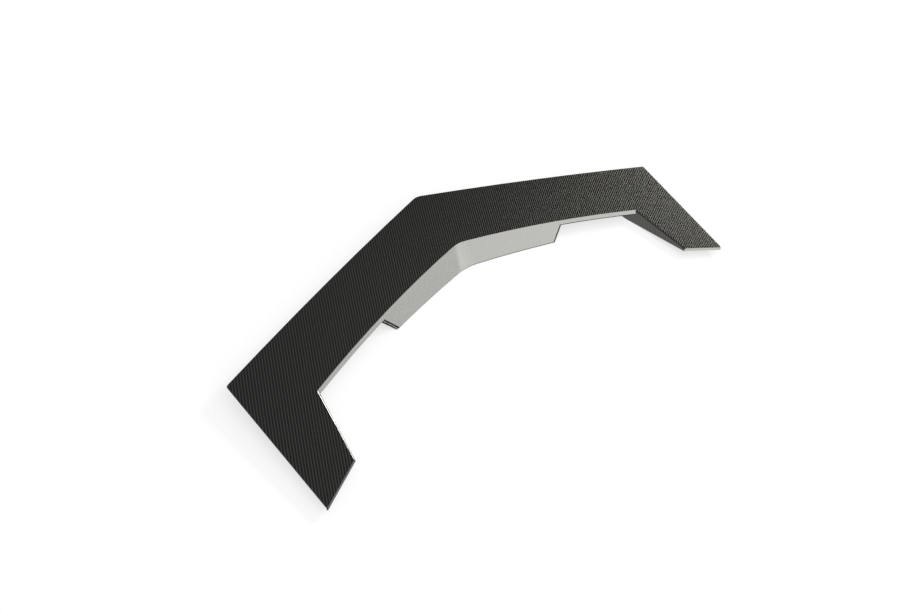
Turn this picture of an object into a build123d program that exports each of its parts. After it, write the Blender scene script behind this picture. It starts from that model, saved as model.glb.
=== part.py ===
from build123d import *
import os
from math import cos, radians, sin, tan

# A rear spoiler for a car: one thin laminate shell, open underneath.
# The top skin is modelled flat at Z = 0, with +Y to the rear, and is raked at the end.
# "Forward" is a distance towards -Y from the tail's apex, "depth" a distance below the top skin.
# A form is made with skin = 0 for its outer face, and with skin = wall for the hollow under it.

# Laminate
wall = 2.0

# Plan of the top skin
half_span = 680.0
sweep = 178.0
tail_bow = 4.5
front_bow = 15.0
centre_chord = 136.0
tail_apex_radius = 60.0
corner_radius = 5.0

# Stiffening return under the tail, which ends short of the corners
tail_return = 6.0
tail_return_inset = 60.0
tail_return_end_slope = 30.0

# Legs, with the inner edge given where the lip ends and at the tip
leg_root_x = 533.0
leg_root_forward = 267.0
leg_tip_x = 569.5
leg_tip_forward = 408.0
leg_end_rake = 22.5
leg_point_radius = 3.0
leg_end_slope = 57.0
leg_tip_depth = 5.5

# Inner flanks of the legs, with a soft shoulder, which end under the arms behind the lip
flank_slope = 57.0
shoulder_radius = 6.0
flank_foot_forward = 265.0
flank_end_forward = 248.0
runout_slope = 45.0

# Front return: one ruled face that steepens from the centre to the sides, short along the arms and long at
# the centre flange
front_slope_centre = 30.4
front_slope_side = 37.2
front_apex_radius = 120.0
front_foot_radius = 260.0
lip_reach = 7.5
lip_depth = 7.6

# Centre flange, with the angle of its end walls in plan, the upright edge along its toe and the back of its
# wedge-shaped end returns
flange_half_width = 309.5
flange_end_angle = 57.0
flange_fold_radius = 10.0
toe_upright = 2.2
heel_setback = 9.0
heel_slope = 30.8

# Height of the tail's apex over the seat, along the skin's normal, and the skin's rake
tail_height = 37.4
rake_angle = 2.58

# How far a cutter passes the edge that it trims, and a leg's form its two ends as a share of its length
margin = 20.0
leg_overrun = 0.5


def run(slope, depth, skin):
    """How far a sloping wall stands out at a depth, at its outer face or, with a skin, at its inner face."""
    return depth / tan(radians(slope)) - skin / sin(radians(slope))


def seat_depth(forward):
    return tail_height - forward * tan(radians(rake_angle))


def leg_end_forward(x, depth, skin):
    """Line of the leg's end face in plan."""
    top = leg_tip_forward + (x - leg_tip_x) * tan(radians(leg_end_rake))
    return top + run(leg_end_slope, depth, skin) / cos(radians(leg_end_rake))


def swept_edge(x_end, forward_centre, forward_end, bow):
    middle = (forward_centre + forward_end) / 2 - bow
    return ThreePointArc((0, -forward_centre), (x_end / 2, -middle), (x_end, -forward_end))


def tail_edge(inset):
    return swept_edge(half_span, inset, sweep + inset, tail_bow)


def front_edge(reach_centre, reach_side):
    return swept_edge(half_span, centre_chord + reach_centre, centre_chord + sweep + reach_side, front_bow)


def symmetric_face(half):
    return make_face(half + [mirror(piece, about=Plane.YZ) for piece in half])


def round_corners(face, x, forward, radius):
    corners = []
    for side in {x, -x}:
        corners.append(face.vertices().sort_by_distance((side, -forward, 0))[0])
    return fillet(corners, radius)


def behind_edge(edge, apex_radius):
    """Plan region behind a swept edge, out past both sides and the tail."""
    apex = edge.position_at(0)
    end = edge.position_at(1)
    outside = end.X + margin
    half = [edge, Polyline((end.X, end.Y), (outside, end.Y), (outside, margin), (0, margin))]
    return round_corners(symmetric_face(half), 0, -apex.Y, apex_radius)


def at_depth(face, depth):
    return Pos(Z=-depth) * face


def prism(face, depth):
    return extrude(face, -depth, dir=(0, 0, 1))


def outline(depth):
    """Plan of the tail, the sides and the leg ends."""
    point = leg_end_forward(half_span, depth, 0)
    bay_x = leg_root_x - run(flank_slope, tail_height, 0) - margin
    bay = leg_end_forward(bay_x, depth, 0)
    half = [tail_edge(0), Polyline((half_span, -sweep), (half_span, -point), (bay_x, -bay), (0, -bay))]
    face = round_corners(symmetric_face(half), 0, 0, tail_apex_radius)
    face = round_corners(face, half_span, sweep, corner_radius)
    return round_corners(face, half_span, point, leg_point_radius)


def envelope(depth):
    """Solid inside the tail, the sides and the sloping leg ends, down to a depth."""
    return loft([outline(0), at_depth(outline(depth), depth)], ruled=True)


def bend_radius(depth):
    """Radius of the front's bend at the centre, which grows with the depth."""
    return front_apex_radius + (front_foot_radius - front_apex_radius) * depth / tail_height


def ramp(slope_centre, slope_side, setback, skin):
    """Solid behind a sloping front face that starts at the front edge, less a setback."""
    sections = []
    for depth in (skin, tail_height):
        edge = front_edge(run(slope_centre, depth, skin) - setback, run(slope_side, depth, skin) - setback)
        sections.append(at_depth(behind_edge(edge, bend_radius(depth)), depth))
    return loft(sections, ruled=True)


def front(skin):
    return ramp(front_slope_centre, front_slope_side, 0, skin)


def leg_section(station, skin):
    """Section across the right leg: 0 is where the lip ends, 1 is the tip."""
    edge_x = leg_root_x + (leg_tip_x - leg_root_x) * station
    forward = leg_root_forward + (leg_tip_forward - leg_root_forward) * station
    shoulder = (edge_x - run(flank_slope, skin, skin), -skin)
    foot = (edge_x - run(flank_slope, tail_height, skin), -tail_height)
    outside = half_span + margin
    face = make_face(Polyline((outside, -skin), shoulder, foot, (outside, -tail_height), close=True))
    corner = face.vertices().sort_by_distance(shoulder)[0]
    return Plane.XZ.offset(forward) * fillet(corner, shoulder_radius - skin)


def leg(skin):
    """Solid outboard of the right leg's flank, from under the arm to past the leg's end."""
    return loft([leg_section(-leg_overrun, skin), leg_section(1 + leg_overrun, skin)], ruled=True)


def leg_hollow():
    """Space inside the right leg's flank and end face, open at the back and on the outside."""
    outside = half_span + margin
    sections = []
    for depth in (0, tail_height):
        end_line = [(x, -leg_end_forward(x, depth, wall)) for x in (outside, 0)]
        face = make_face(Polyline((0, margin), (outside, margin), *end_line, close=True))
        sections.append(at_depth(face, depth))
    return leg(wall) & loft(sections, ruled=True)


def lip_front(skin):
    """Solid behind the upright edge of the lip."""
    edge = front_edge(lip_reach - skin, lip_reach - skin)
    return prism(behind_edge(edge, front_apex_radius), tail_height)


def both(right):
    return right + mirror(right, about=Plane.YZ)


def pan():
    """Top skin with the lip along its front, plain at the tail and the sides."""
    block = (front(0) & lip_front(0)) + both(leg(0))
    hollow = (front(wall) & lip_front(wall)) + both(leg_hollow()) + flange_form(wall)
    return (block & envelope(lip_depth)) - hollow


def tail_stiffener():
    """Return along the tail, tapered out before the corners."""
    strip = behind_edge(tail_edge(wall), tail_apex_radius - wall)
    half_width = half_span - tail_return_inset
    ends = []
    for depth in (0, tail_return):
        narrower = run(tail_return_end_slope, depth, 0)
        ends.append(at_depth(Rectangle(2 * (half_width - narrower), 2 * half_span), depth))
    return envelope(tail_return) & prism(strip, tail_return) & loft(ends, ruled=True)


def toe_depth(slope, edge_forward):
    """Depth at which the front face ends, over the toe's upright edge."""
    return (seat_depth(edge_forward) - toe_upright) / (1 + run(slope, 1, 0) * tan(radians(rake_angle)))


def toe_front(skin):
    """Solid behind the upright edge of the toe."""
    centre = toe_depth(front_slope_centre, centre_chord)
    side = toe_depth(front_slope_side, centre_chord + sweep)
    edge = front_edge(run(front_slope_centre, centre, 0) - skin, run(front_slope_side, side, 0) - skin)
    return prism(behind_edge(edge, bend_radius(centre)), tail_height)


def flange_form(skin):
    """Solid behind the flange's front face and toe, and between its two end walls, which splay to the rear."""
    fold_forward = -front_edge(0, 0).position_at(flange_half_width / half_span).Y
    fold_x = flange_half_width - skin / cos(radians(flange_end_angle))
    splay = tan(radians(flange_end_angle))
    back_x = fold_x + fold_forward * splay
    point = fold_forward + fold_x / splay
    ends = make_face(Polyline((back_x, 0), (-back_x, 0), (0, -point), close=True))
    form = front(skin) & prism(ends, tail_height)
    upright = [edge for edge in form.edges() if edge.bounding_box().size.Z > tail_height / 2]
    folds = ShapeList(upright).sort_by(Axis.Y)[:2]
    return fillet(folds, flange_fold_radius - skin) & toe_front(skin)


def flange():
    """Long part of the front return at the centre, with a wedge-shaped return at each end."""
    return flange_form(0) - flange_form(wall) - ramp(heel_slope, heel_slope, heel_setback, 0)


def across(side):
    """Cutter with a side view given as (forward, depth) points, right across the span."""
    profile = make_face(Polyline([(-forward, -depth) for forward, depth in side], close=True))
    return extrude(Plane.YZ * profile, half_span + margin, both=True)


def flank_runout():
    """Cutter that ends the flank behind the lip, rising from the seat to the top skin."""
    foot = seat_depth(flank_end_forward)
    top = flank_end_forward - run(runout_slope, foot, 0)
    below = flank_end_forward + run(runout_slope, margin, 0)
    return across([(below, foot + margin), (top, 0), (-margin, 0), (-margin, foot + margin)])


def leg_underside():
    """Cutter under the legs, which rises from the flank's foot on the seat to the leg's end and runs on level."""
    foot = seat_depth(flank_foot_forward)
    tip = leg_end_forward(leg_tip_x, leg_tip_depth, 0)
    end = leg_end_forward(half_span, tail_height, 0) + margin
    below = foot + margin
    return across([(flank_foot_forward, foot), (tip, leg_tip_depth), (end, leg_tip_depth), (end, below),
                   (flank_foot_forward, below)])


def spoiler_shell():
    skirt = (leg(0) & envelope(tail_height)) - leg_hollow() - flank_runout()
    shell = pan() + tail_stiffener() + flange() + both(skirt) - leg_underside()
    shell = Pos(Z=tail_height * cos(radians(rake_angle))) * Rot(X=rake_angle) * shell
    shell = split(shell, bisect_by=Plane.XY, keep=Keep.TOP)
    return Pos(Y=-shell.bounding_box().center().Y) * shell


os.makedirs("parts", exist_ok=True)
export_step(spoiler_shell(), "parts/spoiler_shell.step")
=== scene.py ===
import math

import bmesh
import bpy
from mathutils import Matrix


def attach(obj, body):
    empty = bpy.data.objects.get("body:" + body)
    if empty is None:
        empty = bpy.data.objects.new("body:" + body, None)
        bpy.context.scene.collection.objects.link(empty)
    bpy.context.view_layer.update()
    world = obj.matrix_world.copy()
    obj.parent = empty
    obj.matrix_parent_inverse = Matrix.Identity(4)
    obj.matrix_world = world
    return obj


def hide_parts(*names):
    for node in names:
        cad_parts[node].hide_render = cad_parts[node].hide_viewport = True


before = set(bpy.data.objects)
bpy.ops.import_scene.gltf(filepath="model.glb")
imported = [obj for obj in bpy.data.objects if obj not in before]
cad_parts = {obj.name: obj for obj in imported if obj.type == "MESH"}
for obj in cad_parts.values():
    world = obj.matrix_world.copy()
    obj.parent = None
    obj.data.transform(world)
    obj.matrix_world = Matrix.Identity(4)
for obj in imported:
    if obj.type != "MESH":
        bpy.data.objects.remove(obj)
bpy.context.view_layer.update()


def newNode(tree, kind, **settings):
    node = tree.nodes.new(kind)
    for name, value in settings.items():
        setattr(node, name, value)
    return node


def calc(tree, operation, first, second=None):
    node = newNode(tree, "ShaderNodeMath", operation=operation)
    for socket, value in zip(node.inputs, (first, second)):
        if value is None:
            continue
        if isinstance(value, (int, float)):
            socket.default_value = value
        else:
            tree.links.new(value, socket)
    return node.outputs[0]


# 1 for a ray from a mirroring or clear surface, and 0 for any other
def mirroredRay(tree):
    path = newNode(tree, "ShaderNodeLightPath")
    return calc(tree, "MAXIMUM", path.outputs["Is Glossy Ray"], path.outputs["Is Transmission Ray"])


# The same, with 1 for a ray from the camera too
def seenDirectly(tree):
    path = newNode(tree, "ShaderNodeLightPath")
    return calc(tree, "MAXIMUM", path.outputs["Is Camera Ray"], mirroredRay(tree))


twillLook = {
    "overTows": 2,          # how many tows each tow passes over, and then under
    "ribMiddle": 0.5,       # where a rib's middle lies on the diagonal, in tows
    "ribSharpness": 2,
    "ribShare": 0.8,        # how much of the painted sheen is the rib's, the rest being the single tow's
}


# Two-over two-under twill, with its ribs along the diagonal of the cloth. Its Sheen is a painted highlight on
# the crests of the lengthwise tows and on the ribs, put into the colour.
def twillGroup(look):
    repeat = 2 * look["overTows"]
    group = bpy.data.node_groups.new("twillWeaveSheen", "ShaderNodeTree")
    group.interface.new_socket("Place", in_out="INPUT", socket_type="NodeSocketVector")
    group.interface.new_socket("Tow Width", in_out="INPUT", socket_type="NodeSocketFloat")
    group.interface.new_socket("Sheen", in_out="OUTPUT", socket_type="NodeSocketFloat")
    start = newNode(group, "NodeGroupInput")
    end = newNode(group, "NodeGroupOutput")
    split = newNode(group, "ShaderNodeSeparateXYZ")
    group.links.new(start.outputs["Place"], split.inputs[0])
    across = calc(group, "DIVIDE", split.outputs["X"], start.outputs["Tow Width"])
    along = calc(group, "DIVIDE", split.outputs["Y"], start.outputs["Tow Width"])
    column = calc(group, "FLOOR", across)
    row = calc(group, "FLOOR", along)
    # which of the two tows is on top in this square of the weave, counted in whole steps
    step = calc(group, "FLOORED_MODULO", calc(group, "SUBTRACT", column, row), repeat)
    lengthwise = calc(group, "LESS_THAN", step, look["overTows"] - 0.5)
    # each tow is crowned across its width, and its painted highlight is brightest along the middle
    crownAcross = calc(group, "SINE", calc(group, "MULTIPLY", calc(group, "FRACT", across), math.pi))
    # a lengthwise tow gets a painted highlight where it crests, midway between the places where it dives under
    behind = calc(group, "SUBTRACT", look["overTows"] - 1, step)
    travel = calc(group, "ADD", behind, calc(group, "FRACT", along))
    crest = calc(group, "SINE", calc(group, "MULTIPLY", travel, math.pi / look["overTows"]))
    # a crosswise tow gets no painted highlight and stays dark
    tow = calc(group, "MULTIPLY", lengthwise, calc(group, "MULTIPLY", crownAcross, crest))
    # the painted highlights of neighbouring crests run together into a rib along the diagonal
    slant = calc(group, "SUBTRACT", calc(group, "SUBTRACT", across, along), look["ribMiddle"])
    wave = calc(group, "COSINE", calc(group, "MULTIPLY", slant, math.pi / repeat))
    rib = calc(group, "POWER", calc(group, "MULTIPLY", wave, wave), look["ribSharpness"])
    ribPart = calc(group, "MULTIPLY", rib, look["ribShare"])
    towPart = calc(group, "MULTIPLY", tow, 1 - look["ribShare"])
    group.links.new(calc(group, "ADD", ribPart, towPart), end.inputs["Sheen"])
    return group


carbonLook = {
    "towWidth": 0.002,
    "clothTurn": 12,        # of the cloth about the part's upright axis, in degrees
    "darkTow": (0.001, 0.001, 0.001, 1),
    # the colour at a full painted highlight on the tows' crests
    "towSheenColour": (0.065, 0.0645, 0.0617, 1),
    "towRoughness": 0.3,
    "metallic": 1,
    "grazingTint": (0, 0, 0, 1),
    "coatRoughness": 0.035,
    "coatIor": 1.52,
}


def carbonMaterial(look):
    material = bpy.data.materials.new("clearCoatedCarbon")
    material.use_nodes = True
    tree = material.node_tree
    shader = tree.nodes["Principled BSDF"]
    place = newNode(tree, "ShaderNodeTexCoord")
    weave = newNode(tree, "ShaderNodeGroup", node_tree=twillGroup(twillLook))
    weave.inputs["Tow Width"].default_value = look["towWidth"]
    turn = newNode(tree, "ShaderNodeVectorRotate", rotation_type="Z_AXIS")
    turn.inputs["Angle"].default_value = -math.radians(look["clothTurn"])
    tree.links.new(place.outputs["Object"], turn.inputs["Vector"])
    tree.links.new(turn.outputs["Vector"], weave.inputs["Place"])
    # the base colour carries the painted sheen of the weave, from the dark tow colour up to the painted
    # highlight
    colour = newNode(tree, "ShaderNodeMix", data_type="RGBA")
    colour.inputs["A"].default_value = look["darkTow"]
    colour.inputs["B"].default_value = look["towSheenColour"]
    # the painted sheen of the weave is full on the top skin and faint on the sloping faces, chosen by which
    # way each face points
    show = newNode(tree, "ShaderNodeAttribute", attribute_name="sheenShow")
    sheen = calc(tree, "MULTIPLY", weave.outputs["Sheen"], show.outputs["Fac"])
    tree.links.new(sheen, colour.inputs["Factor"])
    tree.links.new(colour.outputs["Result"], shader.inputs["Base Color"])
    shader.inputs["Roughness"].default_value = look["towRoughness"]
    shader.inputs["Metallic"].default_value = look["metallic"]
    shader.inputs["Specular Tint"].default_value = look["grazingTint"]
    # the trimmed edges are bare of clear coat
    coat = newNode(tree, "ShaderNodeAttribute", attribute_name="coatShow")
    tree.links.new(coat.outputs["Fac"], shader.inputs["Coat Weight"])
    shader.inputs["Coat Roughness"].default_value = look["coatRoughness"]
    shader.inputs["Coat IOR"].default_value = look["coatIor"]
    return material


shell = {
    "mergeDistance": 0.00001,
    "flatAngle": 0.1,       # faces this close to one plane are joined, in degrees
    "sharpAngle": 25,       # edges sharper than this get a fine rounding
    "edgeRound": 0.0003,
    "edgeSegments": 2,
    "edgeProfile": 0.5,
    "smoothAngle": 32,
    "areaWeight": 75,
    "levelNormal": 0.95,    # faces whose normal is at least this upright belong to the top skin
    "slopeSheen": 0.15,      # how much of the weave's painted sheen shows on the other faces
    "frontNormal": -0.5,    # faces whose normal has less Y than this look forward
    "cutNormal": 0.3,       # forward faces with less Z than this are the trimmed lower edges of lip and flange
    "cutCoat": 0,
}


# The laminate shell, from the CAD solid's own mesh, with its edges finely rounded as a clear coat leaves them
def makeShell(sizes):
    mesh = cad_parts["spoiler_shell"].data.copy()
    mesh.name = "spoilerShell"
    work = bmesh.new()
    work.from_mesh(mesh)
    bmesh.ops.remove_doubles(work, verts=work.verts, dist=sizes["mergeDistance"])
    bmesh.ops.dissolve_limit(work, angle_limit=math.radians(sizes["flatAngle"]), verts=work.verts,
                             edges=work.edges)
    sharp = [edge for edge in work.edges
             if edge.is_manifold and edge.calc_face_angle() > math.radians(sizes["sharpAngle"])]
    bmesh.ops.bevel(work, geom=sharp, offset=sizes["edgeRound"], offset_type="OFFSET", affect="EDGES",
                    segments=sizes["edgeSegments"], profile=sizes["edgeProfile"], material=-1,
                    clamp_overlap=True)
    for face in work.faces:
        face.smooth = True
    work.to_mesh(mesh)
    work.free()
    mesh.materials.clear()
    mesh.materials.append(carbonMaterial(carbonLook))
    mesh.set_sharp_from_angle(angle=math.radians(sizes["smoothAngle"]))
    for name in ("sheenShow", "coatShow"):
        mesh.attributes.new(name, "FLOAT", "FACE")
    show = mesh.attributes["sheenShow"]
    coat = mesh.attributes["coatShow"]
    # painted sheen share by facing: full on upward faces, less on all the others
    for face in mesh.polygons:
        level = face.normal.z > sizes["levelNormal"]
        trimmed = abs(face.normal.z) < sizes["cutNormal"] and face.normal.y < sizes["frontNormal"]
        show.data[face.index].value = 1 if level else sizes["slopeSheen"]
        coat.data[face.index].value = sizes["cutCoat"] if trimmed else 1
    piece = bpy.data.objects.new("spoilerShell", mesh)
    bpy.context.collection.objects.link(piece)
    # large faces keep their own normals beside the small faces of a bend or a rounded edge
    weights = piece.modifiers.new("faceWeights", "WEIGHTED_NORMAL")
    weights.mode = "FACE_AREA"
    weights.weight = sizes["areaWeight"]
    weights.keep_sharp = True
    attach(piece, "root")
    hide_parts("spoiler_shell")
    print("shell made,", len(mesh.polygons), "faces,", len(sharp), "edges rounded")


makeShell(shell)


floorLook = {
    "halfSize": 30,
    "colour": (0.88, 0.88, 0.88, 1),
    "roughness": 0.9,
    "specular": 0,
    "whiteShare": 0.7,      # how much of the floor is plain white to the eye, the rest keeping the shadow
}


def makeFloor(look):
    mesh = bpy.data.meshes.new("studioFloor")
    work = bmesh.new()
    bmesh.ops.create_grid(work, x_segments=1, y_segments=1, size=look["halfSize"])
    work.to_mesh(mesh)
    work.free()
    material = bpy.data.materials.new("paleFloor")
    material.use_nodes = True
    tree = material.node_tree
    shader = tree.nodes["Principled BSDF"]
    shader.inputs["Base Color"].default_value = look["colour"]
    shader.inputs["Roughness"].default_value = look["roughness"]
    shader.inputs["Specular IOR Level"].default_value = look["specular"]
    white = newNode(tree, "ShaderNodeEmission")
    blend = newNode(tree, "ShaderNodeMixShader")
    tree.links.new(calc(tree, "MULTIPLY", seenDirectly(tree), look["whiteShare"]), blend.inputs["Fac"])
    tree.links.new(shader.outputs[0], blend.inputs[1])
    tree.links.new(white.outputs[0], blend.inputs[2])
    tree.links.new(blend.outputs[0], tree.nodes["Material Output"].inputs["Surface"])
    mesh.materials.append(material)
    floor = bpy.data.objects.new("studioFloor", mesh)
    bpy.context.collection.objects.link(floor)
    print("floor laid")


makeFloor(floorLook)


# The lamp and the panels are placed by their direction from the part and sized by the angle they fill,
# in degrees.
sideLamp = {"azimuth": 7, "elevation": 28, "angles": (14, 7), "radiance": 52, "distance": 11}
lampColour = (1, 0.995, 0.95)


def directionAxes(look):
    azimuth = math.radians(look["azimuth"])
    elevation = math.radians(look["elevation"])
    level, rise = math.cos(elevation), math.sin(elevation)
    ahead = (level * math.cos(azimuth), level * math.sin(azimuth), rise)
    across = (-math.sin(azimuth), math.cos(azimuth), 0)
    upward = (-rise * math.cos(azimuth), -rise * math.sin(azimuth), level)
    return ahead, across, upward


def makeLamp(name, look):
    lamp = bpy.data.lights.new(name, "AREA")
    lamp.shape = "RECTANGLE"
    halfAngles = [math.radians(angle) / 2 for angle in look["angles"]]
    lamp.size, lamp.size_y = [2 * look["distance"] * math.tan(angle) for angle in halfAngles]
    lamp.color = lampColour
    lamp.energy = look["radiance"] * math.pi * lamp.size * lamp.size_y
    holder = bpy.data.objects.new(name, lamp)
    bpy.context.collection.objects.link(holder)
    holder.location = [look["distance"] * step for step in directionAxes(look)[0]]
    holder.rotation_euler = holder.location.to_track_quat("Z", "Y").to_euler()


makeLamp("sideLamp", sideLamp)


# Mirroring surfaces alone see the panels, each named after the face that shows it from the photo's side.
softPanels = {
    "left": {"azimuth": -30, "elevation": 18, "angles": (10, 22), "soft": 1.5, "radiance": 6.8},
    "right": {"azimuth": -44, "elevation": 33, "angles": (26, 16), "soft": 1.5, "radiance": 9.7},
    "lip": {"azimuth": -55.5, "elevation": 30, "angles": (8, 8), "soft": 1, "radiance": 13},
    "front": {"azimuth": -67, "elevation": 7, "angles": (10, 7), "soft": 1, "radiance": 9},
    "flank": {"azimuth": -159, "elevation": 29, "angles": (26, 24), "soft": 2, "radiance": 2},
}


# How much of a direction falls on a panel, with a soft border
def panelShare(tree, direction, look):
    reach = []
    for axis in directionAxes(look):
        dot = newNode(tree, "ShaderNodeVectorMath", operation="DOT_PRODUCT")
        tree.links.new(direction, dot.inputs[0])
        dot.inputs[1].default_value = axis
        reach.append(dot.outputs["Value"])
    share = calc(tree, "GREATER_THAN", reach[0], 0)
    for side, angle in zip(reach[1:], look["angles"]):
        border = newNode(tree, "ShaderNodeMapRange")
        border.inputs["From Min"].default_value = math.tan(math.radians(angle / 2 + look["soft"]))
        border.inputs["From Max"].default_value = math.tan(math.radians(angle / 2 - look["soft"]))
        tree.links.new(calc(tree, "ABSOLUTE", calc(tree, "DIVIDE", side, reach[0])), border.inputs["Value"])
        share = calc(tree, "MULTIPLY", share, border.outputs["Result"])
    return share


studioLook = {
    "fill": (1, 1, 1, 1),
    "heights": (0.3, 0.55, 0.72, 0.82, 0.96),       # sines of the elevation
    "levels": (0.25, 0.16, 0.3, 0.3, 0.9),
}


# Even white light all round. What the clear coat mirrors is a dim studio with the soft panels.
def makeStudio(look):
    world = bpy.data.worlds.new("studio")
    bpy.context.scene.world = world
    world.use_nodes = True
    tree = world.node_tree
    place = newNode(tree, "ShaderNodeTexCoord")
    split = newNode(tree, "ShaderNodeSeparateXYZ")
    tree.links.new(place.outputs["Generated"], split.inputs[0])
    fade = newNode(tree, "ShaderNodeValToRGB")
    stops = fade.color_ramp.elements
    while len(stops) < len(look["heights"]):
        stops.new(1)
    for stop, height, level in zip(stops, look["heights"], look["levels"]):
        stop.position = height
        stop.color = (level, level, level, 1)
    tree.links.new(split.outputs["Z"], fade.inputs["Fac"])
    mirrored = fade.outputs["Color"]
    for panel in softPanels.values():
        added = newNode(tree, "ShaderNodeMix", data_type="RGBA", blend_type="LIGHTEN")
        added.inputs["B"].default_value = [panel["radiance"] * channel for channel in lampColour] + [1]
        tree.links.new(panelShare(tree, place.outputs["Generated"], panel), added.inputs["Factor"])
        tree.links.new(mirrored, added.inputs["A"])
        mirrored = added.outputs["Result"]
    light = newNode(tree, "ShaderNodeMix", data_type="RGBA")
    light.inputs["A"].default_value = look["fill"]
    tree.links.new(mirroredRay(tree), light.inputs["Factor"])
    tree.links.new(mirrored, light.inputs["B"])
    tree.links.new(light.outputs["Result"], tree.nodes["Background"].inputs["Color"])


makeStudio(studioLook)
bpy.context.scene.view_settings.view_transform = "Standard"
print("studio lit")


cameraLook = {
    "place": (-1.93905, -0.67476, 1.7843),
    "turn": (42.64, -23.61, -46.99),
    "lens": 50.93,
    "sensor": 36,
}


def makeCamera(look):
    lens = bpy.data.cameras.new("photoCamera")
    lens.sensor_fit = "HORIZONTAL"
    lens.sensor_width = look["sensor"]
    lens.lens = look["lens"]
    camera = bpy.data.objects.new("photoCamera", lens)
    camera.location = look["place"]
    camera.rotation_euler = [math.radians(angle) for angle in look["turn"]]
    bpy.context.collection.objects.link(camera)
    bpy.context.scene.camera = camera


makeCamera(cameraLook)
print("camera set")
